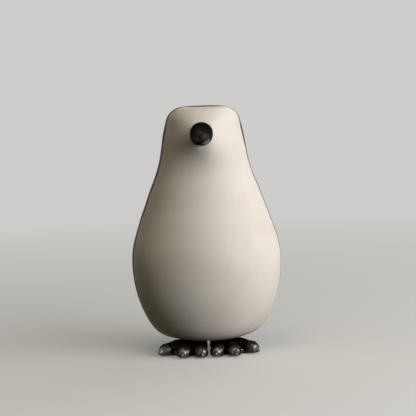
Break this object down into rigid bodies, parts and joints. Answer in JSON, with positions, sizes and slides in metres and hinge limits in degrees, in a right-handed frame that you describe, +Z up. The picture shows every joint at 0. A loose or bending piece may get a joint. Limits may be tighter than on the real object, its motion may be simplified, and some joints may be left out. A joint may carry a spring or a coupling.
{
  "type": "penguin figurine",
  "caption": "Smooth standing penguin ornament with a white stone front bonded to a black stone back, a dark cast beak let into the face and dark cast feet with clawed toes.",
  "frame": {"origin": "on the resting surface, under the middle of the overall width and depth", "axes": "+Z up to the crown, -Y the way the penguin looks, +X to the penguin's own left"},
  "size_m": [0.1214, 0.1043, 0.1983],
  "materials": {
    "white_stone": "satin",
    "black_stone": "satin",
    "dark_bronze": "satin",
    "steel": "satin",
    "felt": "matte"
  },
  "bodies": {
    "root": {"white_front": "white_stone", "black_back": "black_stone", "upper_dowel": "steel", "lower_dowel": "steel", "beak": "dark_bronze", "beak_pin": "steel", "left_foot": "dark_bronze", "right_foot": "dark_bronze", "left_foot_stud": "steel", "right_foot_stud": "steel", "left_felt_pad": "felt", "right_felt_pad": "felt"}
  },
  "joints": []
}
